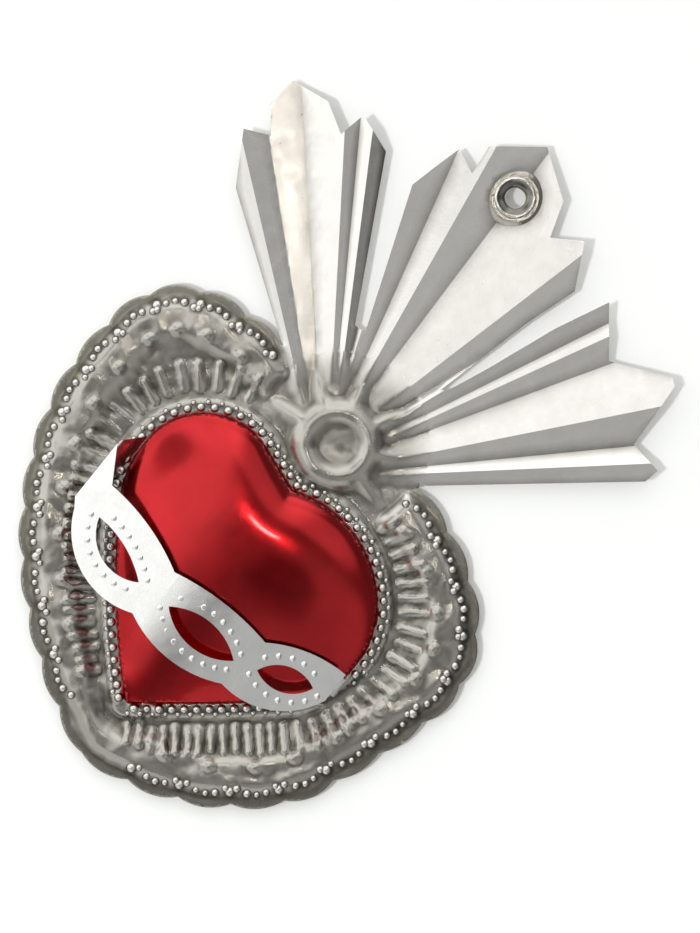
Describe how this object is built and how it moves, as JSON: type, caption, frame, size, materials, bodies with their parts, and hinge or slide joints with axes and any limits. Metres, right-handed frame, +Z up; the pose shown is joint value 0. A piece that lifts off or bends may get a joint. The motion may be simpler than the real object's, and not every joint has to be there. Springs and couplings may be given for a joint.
{
  "type": "tin wall ornament",
  "caption": "Flaming heart wall ornament in embossed tin sheet: pleated flames, scalloped fluted frame, domed red heart with a looped crown band, and a hanging eyelet.",
  "frame": {"origin": "middle of the hanging eyelet's straight bore", "axes": "+Z up towards the tips of the flames, the front faces -Y, and the wall is on the +Y side"},
  "size_m": [0.1072, 0.0111, 0.1535],
  "materials": {
    "tin_sheet": "embossed tinned sheet, softly shiny",
    "red_lacquered_tin": "clear red lacquer over bright tin",
    "bright_tin_strip": "bright punched tin strip",
    "eyelet_metal": "plated and shiny"
  },
  "bodies": {
    "root": {"back_plate": "tin_sheet", "red_heart": "red_lacquered_tin", "crown_band": "bright_tin_strip", "hanging_eyelet": "eyelet_metal"}
  },
  "joints": []
}
